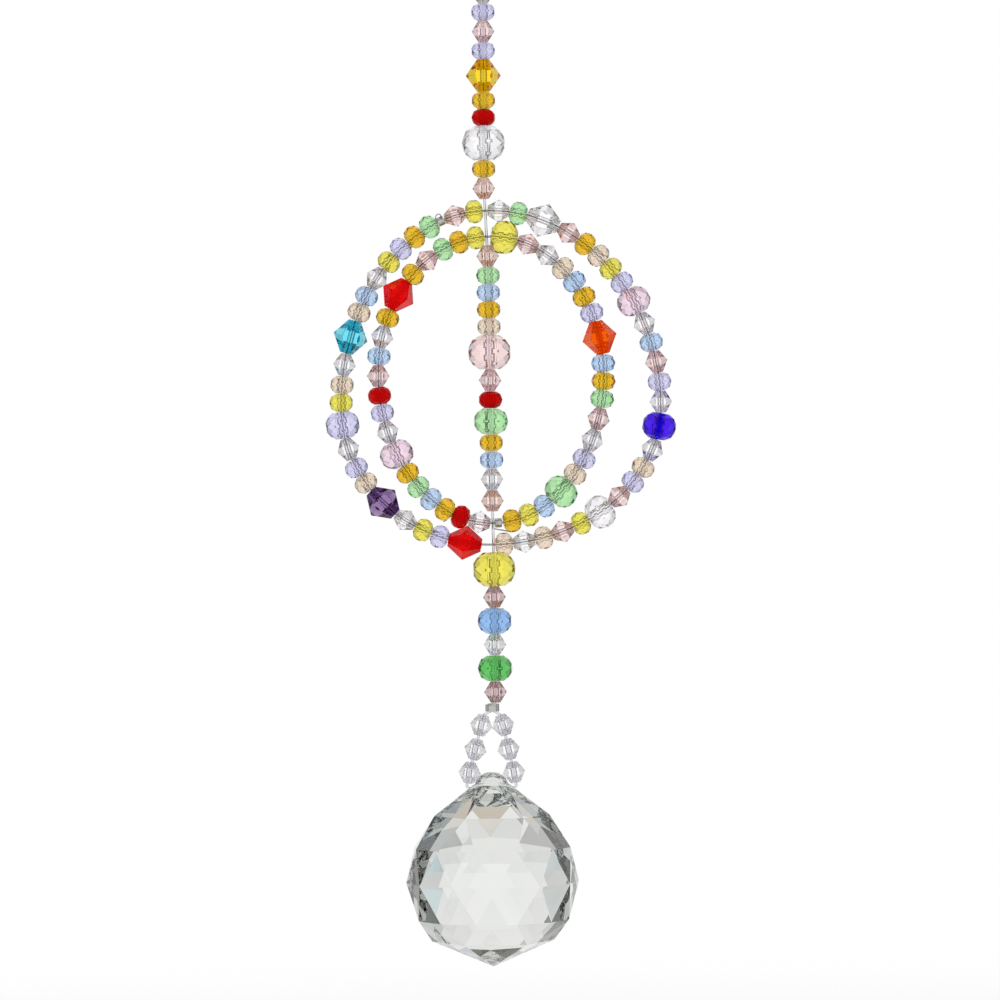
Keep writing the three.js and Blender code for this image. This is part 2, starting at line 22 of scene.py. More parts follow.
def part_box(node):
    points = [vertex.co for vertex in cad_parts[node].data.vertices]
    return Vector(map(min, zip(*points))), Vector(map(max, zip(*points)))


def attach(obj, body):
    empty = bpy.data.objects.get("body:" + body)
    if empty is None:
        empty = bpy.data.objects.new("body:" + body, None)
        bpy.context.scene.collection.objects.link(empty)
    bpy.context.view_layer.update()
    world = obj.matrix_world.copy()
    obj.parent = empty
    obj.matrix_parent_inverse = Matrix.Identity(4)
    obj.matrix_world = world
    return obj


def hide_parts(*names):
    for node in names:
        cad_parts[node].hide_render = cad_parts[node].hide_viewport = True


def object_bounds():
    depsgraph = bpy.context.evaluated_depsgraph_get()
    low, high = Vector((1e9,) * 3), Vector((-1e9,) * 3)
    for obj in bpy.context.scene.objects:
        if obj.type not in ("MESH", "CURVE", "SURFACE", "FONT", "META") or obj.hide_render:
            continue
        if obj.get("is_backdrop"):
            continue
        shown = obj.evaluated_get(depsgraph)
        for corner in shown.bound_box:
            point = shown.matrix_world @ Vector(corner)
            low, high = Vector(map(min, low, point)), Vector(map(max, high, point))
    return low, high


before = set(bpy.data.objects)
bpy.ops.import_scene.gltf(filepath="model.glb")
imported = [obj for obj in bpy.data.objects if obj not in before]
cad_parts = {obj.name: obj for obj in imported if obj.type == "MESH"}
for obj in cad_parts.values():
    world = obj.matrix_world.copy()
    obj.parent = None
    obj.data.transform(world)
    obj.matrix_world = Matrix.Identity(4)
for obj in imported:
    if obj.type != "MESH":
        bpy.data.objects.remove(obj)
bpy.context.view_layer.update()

MM = 0.001
SEED = 30

# Millimetres
CAD_GAP = 0.25  # between two beads in the CAD model
BEAD_GAP = 0.06  # between two beads here
BESIDE_THREAD = 0.4  # between the thread and a ring's nearest bead, along the wire
WIRE_CRIMP_RADIUS = 0.85
WIRE_CRIMP_LENGTH = 1.25

# Shares
SHOULDER_OUT = 0.81  # a rondelle's shoulder corners: their reach, of that of its waist
SHOULDER_UP = 0.72  # and their height, of half its length
BEAD_WAY = 1.4  # the light's usual way through a bead, of its width
BEAD_SOFTNESS = 0.008  # a bead's softened edges, of its width
LEAST_LIGHT = 0.004  # the least light that a glass lets through
EDGE_TINT = 0.6  # the power of its colour that a reflection inside takes on
ARC_HANDLE = 0.5523  # a curve's handle that makes a quarter circle, of the radius

FACET_ANGLE = 0.6  # degrees between two faces that are still one facet

Piece = bpy.types.Object
Socket = bpy.types.NodeSocket
FaceTest = Callable[[bpy.types.MeshPolygon], bool]
Triple = tuple[float, float, float]
Pairs = tuple[tuple[float, float], ...]
Stops = Sequence[tuple[float, float | Triple]]

log = logging.getLogger("suncatcher")


# ---- helpers


def linear(colour: Sequence[float]) -> tuple[float, ...]:
    """The linear light of a colour as it looks on a screen, 0 to 1, by the usual screen curve."""
    return tuple(c / 12.92 if c <= 0.04045 else ((c + 0.055) / 1.055) ** 2.4 for c in colour)


def middle_of(node: str) -> Vector:
    """The middle of a CAD node, in millimetres."""
    low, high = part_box(node)
    return (low + high) / 2 / MM


def size_of(node: str) -> Vector:
    """The three sides of a CAD node, in millimetres."""
    low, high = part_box(node)
    return (high - low) / MM


def ends_of(node: str) -> tuple[float, float]:
    """The heights of a CAD node's foot and top, in millimetres."""
    low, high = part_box(node)
    return low.z / MM, high.z / MM


def turn_about(axis: str, degrees: float) -> Matrix:
    """A turn about an axis."""
    return Matrix.Rotation(math.radians(degrees), 4, axis)


class Bench:
    """Keeps the selection clean between operators."""

    @staticmethod
    def clear() -> None:
        """Deselects everything."""
        bpy.ops.object.select_all(action="DESELECT")

    @staticmethod
    def pick(obj: Piece) -> None:
        """Selects only one object and makes it active.

        Args:
            obj: The object.
        """
        Bench.clear()
        obj.select_set(True)
        bpy.context.view_layer.objects.active = obj

    @staticmethod
    def apply() -> None:
        """Puts the picked object's place, turn and size into its mesh."""
        bpy.ops.object.transform_apply(location=True, rotation=True, scale=True)

    @staticmethod
    def added(name: str) -> Piece:
        """Names the object that was just added and applies its place.

        Args:
            name: Its name.

        Returns:
            The object.
        """
        obj = bpy.context.object
        obj.name = name
        Bench.apply()
        return obj

    @staticmethod
    def open(obj: Piece) -> None:
        """Enters edit mode on an object with all of it selected.

        Args:
            obj: The object.
        """
        Bench.pick(obj)
        bpy.ops.object.mode_set(mode="EDIT")
        bpy.ops.mesh.select_all(action="SELECT")

    @staticmethod
    def close() -> None:
        """Leaves edit mode with the faces turned outwards."""
        bpy.ops.mesh.select_all(action="SELECT")
        bpy.ops.mesh.normals_make_consistent(inside=False)
        bpy.ops.object.mode_set(mode="OBJECT")

    @staticmethod
    def select_faces(obj: Piece, test: FaceTest) -> None:
        """Selects, in edit mode, only the faces that pass a test.

        Args:
            obj: The object in edit mode.
            test: Tells whether a face is wanted.
        """
        bpy.ops.mesh.select_mode(type="FACE")
        bpy.ops.mesh.select_all(action="DESELECT")
        bpy.ops.object.mode_set(mode="OBJECT")
        for face in obj.data.polygons:
            face.select = test(face)
        bpy.ops.object.mode_set(mode="EDIT")

    @staticmethod
    def smooth_faces(obj: Piece, test: FaceTest) -> None:
        """Shades some faces smooth and keeps the edge round them sharp.

        Args:
            obj: The object.
            test: Tells whether a face is one of them.
        """
        Bench.open(obj)
        Bench.select_faces(obj, test)
        bpy.ops.mesh.faces_shade_smooth()
        bpy.ops.mesh.region_to_loop()
        bpy.ops.mesh.mark_sharp()
        bpy.ops.object.mode_set(mode="OBJECT")

    @staticmethod
    def modify(obj: Piece, kind: str, **settings: object) -> None:
        """Adds a modifier to an object and applies it.

        Args:
            obj: The object.
            kind: The modifier's type.
            settings: Its settings by name.
        """
        Bench.pick(obj)
        bpy.ops.object.modifier_add(type=kind)
        modifier = obj.modifiers[-1]
        for name, value in settings.items():
            setattr(modifier, name, value)
        bpy.ops.object.modifier_apply(modifier=modifier.name)

    @staticmethod
    def settle(obj: Piece) -> None:
        """Puts an object's place into its mesh, and goes from millimetres to metres.

        Args:
            obj: The object.
        """
        Bench.pick(obj)
        Bench.apply()
        obj.data.transform(Matrix.Scale(MM, 4))


def hang_in_frame(
    obj: Piece, slot: str, material: bpy.types.Material, replaces: Sequence[str]
) -> None:
    """Gives a finished piece its material, hangs it under the root and hides the CAD nodes that it
    stands for.

    Args:
        obj: The piece, at the origin and in metres.
        slot: The record's slot that its finish comes from.
        material: Its material.
        replaces: The CAD nodes that it stands for.
    """
    obj.data.materials.clear()
    obj.data.materials.append(material)
    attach(obj, "root")
    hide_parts(*replaces)
    log.info("%s: %d faces, %s", obj.name, len(obj.data.polygons), slot)


# ---- finishes


class NodeSheet:
    """An emptied node tree, with short ways to add, set and join nodes."""

    def __init__(self, tree: bpy.types.NodeTree) -> None:
        """Empties the tree and keeps it."""
        tree.nodes.clear()
        self.tree = tree

    def add(self, kind: str, **settings: object) -> bpy.types.Node:
        """Adds a node.

        Args:
            kind: The node's type.
            settings: Its own properties by name.

        Returns:
            The node.
        """
        node = self.tree.nodes.new(kind)
        for name, value in settings.items():
            setattr(node, name, value)
        return node

    def set(self, node: bpy.types.Node, **values: object) -> None:
        """Sets a node's sockets by name, with an underscore for each space."""
        for name, value in values.items():
            node.inputs[name.replace("_", " ")].default_value = value

    def link(self, source: Socket, target: Socket) -> None:
        """Joins two sockets."""
        self.tree.links.new(source, target)

    def calculate(self, operation: str, *values: Socket | float) -> Socket:
        """Adds a sum.

        Args:
            operation: Its kind.
            values: What it works on: sockets, or numbers with a decimal point.

        Returns:
            The socket with its result.
        """
        node = self.add("ShaderNodeMath", operation=operation)
        for target, value in zip(node.inputs, values):
            if isinstance(value, float):
                target.default_value = value
            else:
                self.link(value, target)
        return node.outputs["Value"]

    def ramp(self, share: Socket, stops: Stops) -> Socket:
        """Adds a ramp of colours.

        Args:
            share: What picks the colour, 0 to 1.
            stops: Place and colour of each stop, upwards; a number in a colour's place is a grey.

        Returns:
            The socket with the colour.
        """
        node = self.add("ShaderNodeValToRGB")
        elements = node.color_ramp.elements
        elements.remove(elements[-1])
        elements[0].position = stops[0][0]
        for place, _ in stops[1:]:
            elements.new(place)
        for element, (_, shade) in zip(elements, stops):
            colour = (shade,) * 3 if isinstance(shade, float) else shade
            element.color = (*colour, 1.0)
        self.link(share, node.inputs["Fac"])
        return node.outputs["Color"]

    def noise(self, scale: float, detail: float) -> Socket:
        """Adds a noise that reads the piece's own coordinates.

        Args:
            scale: Cells in a metre.
            detail: Finer layers.

        Returns:
            The socket with its value.
        """
        noise = self.add("ShaderNodeTexNoise")
        self.set(noise, Scale=scale, Detail=detail)
        self.link(self.add("ShaderNodeTexCoord").outputs["Object"], noise.inputs["Vector"])
        return noise.outputs["Fac"]


class ShaderSheet(NodeSheet):
    """The nodes of a new material, with its Principled shader."""

    def __init__(self, name: str) -> None:
        """Makes the material with one Principled shader on its output.

        Args:
            name: The material's name.
        """
        self.material = bpy.data.materials.new(name)
        self.material.use_nodes = True
        super().__init__(self.material.node_tree)
        self.output = self.add("ShaderNodeOutputMaterial")
        self.shader = self.add("ShaderNodeBsdfPrincipled")
        self.link(self.shader.outputs["BSDF"], self.output.inputs["Surface"])


@dataclass(frozen=True)
class GlassFinish:
    """Cut and polished glass of one colour.

    Attributes:
        slot: The record's slot.
        body: What white light looks like after a bead's thickness of it, as on a screen.
        skin: How much of the colour sits at the surfaces; the rest deepens with the way inside.
        roughness: How far it is from a perfect polish.
        bend: Its index of refraction.
        clearness: 1 for see-through glass, less for milky or opaque glass.
        inner: How much light a reflection inside keeps, which sets how dark the cut edges look.
        gloss: Strength of its plain surface reflection.
        painted_glow: Strength of a painted emission in the glass's own colour, which makes it shine
            brighter as if lit from inside, though it is no lamp.
    """

    slot: str
    body: Triple
    skin: float = 0.12
    roughness: float = 0.0
    bend: float = 1.54
    clearness: float = 1.0
    inner: float = 0.22
    gloss: float = 0.5
    painted_glow: float = 0.0

    def material(self, way: float) -> bpy.types.Material:
        """Makes the material for stones of one size.

        Args:
            way: The light's usual way through the stone in millimetres.

        Returns:
            The material.
        """
        sheet = ShaderSheet(f"{self.slot}_{round(way * 10):03d}")
        kept = [max(c, LEAST_LIGHT) for c in linear(self.body)]
        sheet.set(
            sheet.shader,
            Base_Color=(*[c**self.skin for c in kept], 1.0),
            Roughness=self.roughness,
            IOR=self.bend,
            Transmission_Weight=self.clearness,
            Specular_IOR_Level=self.gloss,
            Specular_Tint=(*[self.inner * c**EDGE_TINT for c in kept], 1.0),
        )
        # Painted light: an emission in the glass's own colour makes the stone shine, though it is no
        # lamp.
        if self.painted_glow:
            sheet.set(sheet.shader, Emission_Color=(*kept, 1.0), Emission_Strength=self.painted_glow)
        losses = [-(1 - self.skin) * math.log(c) / (way * MM) for c in kept]
        density = max(losses)
        if density > 1.0:
            depth = sheet.add("ShaderNodeVolumeAbsorption")
            sheet.set(depth, Color=(*[1 - loss / density for loss in losses], 1.0), Density=density)
            sheet.link(depth.outputs["Volume"], sheet.output.inputs["Volume"])
        return sheet.material


@dataclass(frozen=True)
class MetalFinish:
    """Plated metal with faint drawing marks.

    Attributes:
        slot: The record's slot.
        colour: Its colour as on a screen.
        roughness: The least and the greatest roughness.
        marks: Marks in a metre.
    """

    slot: str
    colour: Triple
    roughness: tuple[float, float]
    marks: float

    def material(self) -> bpy.types.Material:
        """Makes the material, with noise in its roughness and its height.

        Returns:
            The material.
        """
        sheet = ShaderSheet(self.slot)
        sheet.set(sheet.shader, Base_Color=(*linear(self.colour), 1.0), Metallic=1.0)
        noise = sheet.noise(self.marks, detail=4.0)
        spread = sheet.add("ShaderNodeMapRange")
        low, high = self.roughness
        sheet.set(spread, From_Min=0.3, From_Max=0.7, To_Min=low, To_Max=high)
        sheet.link(noise, spread.inputs["Value"])
        sheet.link(spread.outputs["Result"], sheet.shader.inputs["Roughness"])
        bump = sheet.add("ShaderNodeBump")
        sheet.set(bump, Strength=0.12, Distance=0.05 * MM)
        sheet.link(noise, bump.inputs["Height"])
        sheet.link(bump.outputs["Normal"], sheet.shader.inputs["Normal"])
        return sheet.material


class Glass(Enum):
    """The glass colours, by the names that the CAD nodes use."""

    CLEAR = GlassFinish("clear_glass", (0.985, 0.975, 0.99), inner=0.5)
    CRYSTAL = GlassFinish("clear_glass", (0.967, 0.969, 0.966), inner=0.5)
    LAVENDER = GlassFinish("lavender_glass", (0.80, 0.78, 0.97))
    PINK = GlassFinish("pink_glass", (0.97, 0.82, 0.82))
    DUSTY = GlassFinish("dusty_glass", (0.86, 0.70, 0.70))
    PEACH = GlassFinish("peach_glass", (0.97, 0.81, 0.76))
    GOLD = GlassFinish("gold_glass", (0.92, 0.66, 0.07))
    AMBER = GlassFinish("amber_glass", (1.0, 0.78, 0.05))
    GARNET = GlassFinish(
        "garnet_glass", (0.90, 0.0, 0.05), skin=1.0, roughness=0.05, clearness=0.2, gloss=0.2
    )
    GREEN = GlassFinish("green_glass", (0.62, 0.90, 0.58))
    EMERALD = GlassFinish("emerald_glass", (0.26, 0.70, 0.26))
    BLUE = GlassFinish("blue_glass", (0.66, 0.79, 0.97))
    AZURE = GlassFinish("azure_glass", (0.46, 0.66, 0.94))
    CHAMPAGNE = GlassFinish("champagne_glass", (0.92, 0.81, 0.69))
    YELLOW = GlassFinish("yellow_glass", (0.93, 0.87, 0.23))
    AQUA = GlassFinish("aqua_glass", (0.26, 0.82, 0.94))
    # Ruby and orange carry a painted emission that brightens them, though they are no lamps.
    RUBY = GlassFinish(
        "ruby_glass", (1.0, 0.02, 0.02), skin=1.0, clearness=0.5, inner=1.0, gloss=0.1, painted_glow=0.05
    )
    ORANGE = GlassFinish(
        "orange_glass", (1.0, 0.40, 0.02), skin=1.0, clearness=0.75, inner=0.8, gloss=0.1, painted_glow=0.07
    )
    COBALT = GlassFinish("cobalt_glass", (0.24, 0.09, 0.93), skin=0.6)
    PURPLE = GlassFinish("purple_glass", (0.42, 0.28, 0.52))
    ORCHID = GlassFinish("orchid_glass", (0.94, 0.80, 0.89))

    @cache
    def material(self, way: float) -> bpy.types.Material:
        """The material of this glass, made once for stones with the same way through them."""
        return self.value.material(way)


SILVER = MetalFinish("silver_metal", (0.80, 0.79, 0.77), roughness=(0.06, 0.18), marks=3000.0)
THREAD = GlassFinish("clear_thread", (0.84, 0.85, 0.87), skin=0.5, roughness=0.03, bend=1.5)
WIRE = GlassFinish("ring_wire", (0.60, 0.60, 0.62), skin=0.6, roughness=0.1, bend=1.5)


# ---- cut stones


@dataclass(frozen=True)
class CornerRow:
    """Corners evenly round the upright axis of a stone.

    Attributes:
        radius: Their distance from the axis in millimetres.
        height: Their height above the stone's middle.
        corners: How many there are.
        turn: The first corner's place in degrees, with 0 at the front.
    """

    radius: float
    height: float
    corners: int
    turn: float = 0.0

    def set_out(self) -> None:
        """Adds the corners as a circle to whatever is being edited."""
        bpy.ops.mesh.primitive_circle_add(
            vertices=self.corners,
            radius=self.radius,
            location=(0, 0, self.height),
            rotation=(0, 0, math.radians(self.turn)),
        )


def cut_stone(name: str, rows: Sequence[CornerRow]) -> Piece:
    """Cuts a stone with flat facets between rows of corners.

    Args:
        name: The stone's name.
        rows: Its rows of corners.

    Returns:
        The solid stone, in millimetres.
    """
    Bench.clear()
    rows[0].set_out()
    stone = Bench.added(name)
    Bench.open(stone)
    for row in rows[1:]:
        row.set_out()
    bpy.ops.mesh.select_all(action="SELECT")
    bpy.ops.mesh.convex_hull(
        delete_unused=True, use_existing_faces=False, make_holes=False, join_triangles=False
    )
    bpy.ops.mesh.select_all(action="SELECT")
    bpy.ops.mesh.dissolve_limited(angle_limit=math.radians(FACET_ANGLE))
    Bench.close()
    return stone


def soften_edges(
    piece: Piece, width: float, least_angle: float = 8.0, segments: int = 1, offset_type: str = "WIDTH"
) -> None:
    """Takes the sharpness off a piece's edges.

    Args:
        piece: The piece, in millimetres.
        width: The width of the softened edge.
        least_angle: Edges flatter than this, in degrees, stay as they are.
        segments: Rows of faces across the edge.
        offset_type: How the width is measured.
    """
    Bench.modify(
        piece,
        "BEVEL",
        width=width,
        segments=segments,
        limit_method="ANGLE",
        angle_limit=math.radians(least_angle),
        offset_type=offset_type,
    )


def bore(stone: Piece, radius: float, length: float, turned: Matrix, sides: int = 16) -> None:
    """Bores a round hole through a stone and gives its wall a smooth shade.

    Args:
        stone: The stone, in millimetres.
        radius: The hole's radius.
        length: The length of the drill.
        turned: Where the drill stands; its own axis is upright.
        sides: Faces round the hole.
    """
    Bench.clear()
    bpy.ops.mesh.primitive_cylinder_add(vertices=sides, radius=radius, depth=length)
    drill = bpy.context.object
    drill.matrix_world = turned
    Bench.apply()
    Bench.modify(stone, "BOOLEAN", operation="DIFFERENCE", object=drill, solver="EXACT")
    bpy.data.objects.remove(drill)
    axis = turned.to_3x3() @ Vector((0, 0, 1))
    start = turned.translation
    most_reach, most_slope = radius * 1.02, 0.1

    def on_wall(face: bpy.types.MeshPolygon) -> bool:
        """Tells whether a face is part of the hole's wall.

        Args:
            face: The face.

        Returns:
            True where it is.
        """
        reach = face.center - start
        away = (reach - axis * reach.dot(axis)).length
        return away < most_reach and abs(face.normal.dot(axis)) < most_slope

    Bench.smooth_faces(stone, on_wall)


class Cut(Enum):
    """The two ways that a bead is cut."""

    BICONE = "bicone"
    RONDELLE = "rondelle"


@dataclass(frozen=True)
class BeadKind:
    """A size and cut of bead, in millimetres.

    Attributes:
        across: Its width over the corners.
        pitch: The length of thread that it takes up.
        end: The flat at each end of the bore, as a share of the width.
        sides: Facets round it.
        cut: How it is cut.
        bore: The bore's radius.
        waist: The height of a rondelle's upright lozenges, as a share of its length.
    """

    across: float
    pitch: float
    end: float
    sides: int
    cut: Cut
    bore: float
    waist: float = 0.36

    def rows(self) -> list[CornerRow]:
        """The rows of corners, upwards.

        A bicone is two pyramids base to base. A rondelle has upright lozenges round its waist, and
        its ends are rounded off with triangles between them and the flat ends.

        Returns:
            The rows.
        """
        radius, half = self.across / 2, self.pitch / 2 - BEAD_GAP / 2
        sides, between = self.sides, 180 / self.sides
        upper = [CornerRow(radius, 0, sides, between)]
        if self.cut is Cut.BICONE:
            upper.append(CornerRow(radius * self.end, half, sides, between))
        else:
            flat = math.cos(math.pi / sides)
            upper += [
                CornerRow(radius * flat, half * self.waist, sides),
                CornerRow(radius * SHOULDER_OUT, half * SHOULDER_UP, sides, between),
                CornerRow(radius * self.end, half, sides),
            ]
        return [replace(row, height=-row.height) for row in upper[:0:-1]] + upper

    def stone(self, name: str) -> Piece:
        """Cuts, softens and bores one bead.

        Args:
            name: Its name.

        Returns:
            The bead, upright at the origin in millimetres.
        """
        stone = cut_stone(name, self.rows())
        soften_edges(stone, self.across * BEAD_SOFTNESS)
        bore(stone, self.bore, self.pitch * 2, Matrix.Identity(4))
        return stone


class Bead(Enum):
    """The five bead kinds, each with the letter that stands for it in a run of beads."""

    b = BeadKind(across=4.1, pitch=3.85, end=0.42, sides=6, cut=Cut.BICONE, bore=0.58)
    r = BeadKind(across=4.45, pitch=3.05, end=0.48, sides=8, cut=Cut.RONDELLE, bore=0.6)
    B = BeadKind(across=6.3, pitch=5.8, end=0.36, sides=6, cut=Cut.BICONE, bore=0.65)
    R = BeadKind(across=6.4, pitch=4.6, end=0.46, sides=8, cut=Cut.RONDELLE, bore=0.7)
    L = BeadKind(across=8.0, pitch=6.1, end=0.46, sides=8, cut=Cut.RONDELLE, bore=0.75)


class BeadBox:
    """Cuts one stone of each kind and strings copies of it.

    Attributes:
        most_turn: The most degrees that a bead turns on its thread either way.
    """

    most_turn = 9

    def __init__(self) -> None:
        """Cuts the pattern stones."""
        self.chance = random.Random(SEED)
        self.patterns: dict[Bead, bpy.types.Mesh] = {}
        for bead in Bead:
            stone = bead.value.stone(f"pattern_{bead.name}")
            self.patterns[bead] = stone.data
            bpy.data.objects.remove(stone)

    def string(
        self, name: str, bead: Bead, glass: Glass, place: Matrix, replaces: Sequence[str],
        ease: float = 1.0, tilt: float = 2.0,
    ) -> None:
        """Strings one bead.

        Args:
            name: The piece's name.
            bead: Its kind.
            glass: Its colour.
            place: Where it stands in millimetres, with its bore along the local Z axis.
            replaces: The CAD nodes that it stands for.
            ease: Its length as a share of its kind's own.
            tilt: The most that it leans on its thread, in degrees.
        """
        turn, lean, nod = (self.chance.uniform(-most, most) for most in (self.most_turn, tilt, tilt))
        loose = turn_about("Y", lean) @ turn_about("X", nod)
        eased = Matrix.Diagonal((1.0, 1.0, ease, 1.0))
        mesh = self.patterns[bead].copy()
        mesh.transform(Matrix.Scale(MM, 4) @ place @ loose @ turn_about("Z", turn) @ eased)
        piece = bpy.data.objects.new(name, mesh)
        bpy.context.scene.collection.objects.link(piece)
        material = glass.material(bead.value.across * BEAD_WAY)
        hang_in_frame(piece, glass.value.slot, material, replaces)


# ---- threads and wires


@dataclass
class Line:
    """A round thread or wire along a route.

    Attributes:
        finish: What it is made of.
        way: The light's usual way through it in millimetres.
        radius: Its radius in millimetres.
        sides: Faces round it.
    """

    finish: GlassFinish
    way: float
    radius: float
    sides: int = 12

    def lay(self, name: str, node: str, points: Sequence[Vector], closed: bool = False) -> None:
        """Lays the line along points and hangs it in the frame.

        Args:
            name: The piece's name.
            node: The CAD node that it stands for.
            points: Its route in millimetres.
            closed: True where it runs back into its own start.
        """
        Bench.clear()
        bpy.ops.curve.primitive_nurbs_path_add()
        line = bpy.context.object
        line.name = name
        curve = line.data
        curve.splines.clear()
        spline = curve.splines.new("POLY")
        spline.points.add(len(points) - 1)
        for knot, point in zip(spline.points, points):
            knot.co = (*point, 1.0)
        spline.use_cyclic_u = closed
        curve.dimensions = "3D"
        curve.twist_mode = "MINIMUM"
        curve.bevel_depth = self.radius
        curve.bevel_resolution = (self.sides - 4) // 2
        curve.use_fill_caps = not closed
        bpy.ops.object.convert(target="MESH")
        bpy.ops.object.shade_smooth_by_angle(angle=math.radians(50))
        Bench.open(line)
        bpy.ops.mesh.remove_doubles(threshold=0.001)
        Bench.close()
        Bench.settle(line)
        hang_in_frame(line, self.finish.slot, self.finish.material(self.way), [node])


def bend(knots: Sequence[Vector], steps: int) -> list[Vector]:
    """Points along a curve that leaves its first knot towards the second and ends from the third."""
    return list(interpolate_bezier(*knots, steps + 1))


# ---- the strand


@dataclass
class Strand:
    """The beads on the upright thread, and the thread itself, in millimetres.

    Attributes:
        box: The bead box.
        thread_radius: The thread's radius.
        threads_apart: How far apart two threads lie in a crimp.
        thread_end: How far the thread's cut end stands out under the upper crimp.
        loop_turn: The radius of the thread's turn over the hanging ring.
        loop_pull: How far the loop runs on straight above the crimp and under the turn.
        gather_pull: How far the thread runs on straight where it gathers under the crimp.
        drop_leans: Degrees that the drop loop's beads lean, downwards.
        drop_start: How far inwards of the first drop bead, and above it, the thread bends.
        neck_bend: Knots of the bend into the ball's neck, beside its middle and above its bore.
        ball_aside: The ball's place to the right of the drop loop's crimp.
    """

    box: BeadBox
    thread_radius: float = 0.25
    threads_apart: float = 0.66
    thread_end: float = 0.1
    loop_turn: float = 1.25
    loop_pull: float = 1.5
    gather_pull: float = 0.4
    drop_leans: Triple = (15.0, 12.0, 9.0)
    drop_start: tuple[float, float] = (0.5, 1.85)
    neck_bend: Pairs = ((4.37, 0.75), (4.47, 0.2), (4.07, 0), (3.47, 0))
    ball_aside: float = -0.3

    def bead_nodes(self) -> list[str]:
        """The CAD nodes of the strand's beads, from the top down."""
        return sorted(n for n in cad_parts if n.startswith("strand_") and n != "strand_thread")

    def kind_of(self, node: str) -> Bead:
        """The bead kind whose length on the thread fits a CAD node."""
        length = size_of(node).z + CAD_GAP
        return min(Bead, key=lambda bead: abs(bead.value.pitch - length))

    def string_beads(self) -> None:
        """Strings the beads of the strand, each where its CAD node is."""
        for node in self.bead_nodes():
            glass = Glass[node.split("_")[2].upper()]
            place = Matrix.Translation(middle_of(node))
            self.box.string(f"bead_{node}", self.kind_of(node), glass, place, [node])

    def string_drop_beads(self) -> None:
        """Strings the six clear beads over the ball."""
        for side, sign in (("right", 1), ("left", -1)):
            for index, lean in enumerate(self.drop_leans, start=1):
                node = f"drop_{side}_bead_{index}"
                place = Matrix.Translation(middle_of(node)) @ turn_about("Y", -sign * lean)
                self.box.string(f"bead_{node}", Bead.b, Glass.CLEAR, place, [node])

    def thread_route(self) -> list[Vector]:
        """The thread's way: a loop over the hanging ring, the strand and a loop through the ball.

        Returns:
            Points along it.
        """
        apart, turn = self.threads_apart / 2, self.loop_turn
        pull, gather = self.loop_pull, self.gather_pull
        shoulder = ends_of("hanging_ring")[0] + size_of("hanging_ring").y / 2
        foot, top = ends_of("hanging_loop_crimp")
        foot -= self.thread_end
        start = ends_of(self.bead_nodes()[0])[1] + CAD_GAP / 2
        arc, over = ARC_HANDLE * turn, shoulder + turn
        route = [Vector((0, apart, foot)), Vector((0, apart, top))]
        for steps, *knots in (
            (10, (apart, top), (apart, top + pull), (turn, shoulder - pull), (turn, shoulder)),
            (8, (turn, shoulder), (turn, shoulder + arc), (arc, over), (0, over)),
            (8, (0, over), (-arc, over), (-turn, shoulder + arc), (-turn, shoulder)),
            (10, (-turn, shoulder), (-turn, shoulder - pull), (-apart, top + pull), (-apart, top)),
            (6, (-apart, foot), (-apart, foot - gather), (0, start + gather), (0, start)),
        ):
            route += bend([Vector((0, y, z)) for y, z in knots], steps)
        route += [middle_of(node) for node in self.bead_nodes()]
        return self.thinned(route + self.drop_route())

    def drop_route(self) -> list[Vector]:
        """The way down one side of the drop loop, through the ball's neck, and up the other side.

        Returns:
            Points along it.
        """
        foot, top = ends_of("drop_crimp")
        entry = Ball.middle_in_frame().z + Ball.bore_height
        inwards, above = self.drop_start
        ways = []
        for side, sign in (("right", 1), ("left", -1)):
            beads = [middle_of(f"drop_{side}_bead_{index}") for index in (1, 2, 3)]
            apart = sign * self.threads_apart / 2
            way = [Vector((apart, 0, top)), Vector((apart, 0, foot))]
            way.append(Vector((beads[0].x - sign * inwards, 0, beads[0].z + above)))
            corner = [Vector((sign * x + self.ball_aside, 0, entry + z)) for x, z in self.neck_bend]
            ways.append(way + beads + bend(corner, steps=6))
        right, left = ways
        return right + left[::-1]

    @staticmethod
    def thinned(route: list[Vector], least_step: float = 0.02) -> list[Vector]:
        """Leaves out the points of a route that lie on the point before them.

        Args:
            route: The points.
            least_step: The least way from a point to the next.

        Returns:
            The points that stay.
        """
        kept = [route[0]]
        for point in route[1:]:
            if (point - kept[-1]).length > least_step:
                kept.append(point)
        return kept

    def build(self) -> None:
        """Builds the strand, its drop loop and the thread."""
        self.string_beads()
        self.string_drop_beads()
        thread = Line(THREAD, 2 * self.thread_radius, self.thread_radius, sides=16)
        thread.lay("thread", "strand_thread", self.thread_route())


# ---- the ball


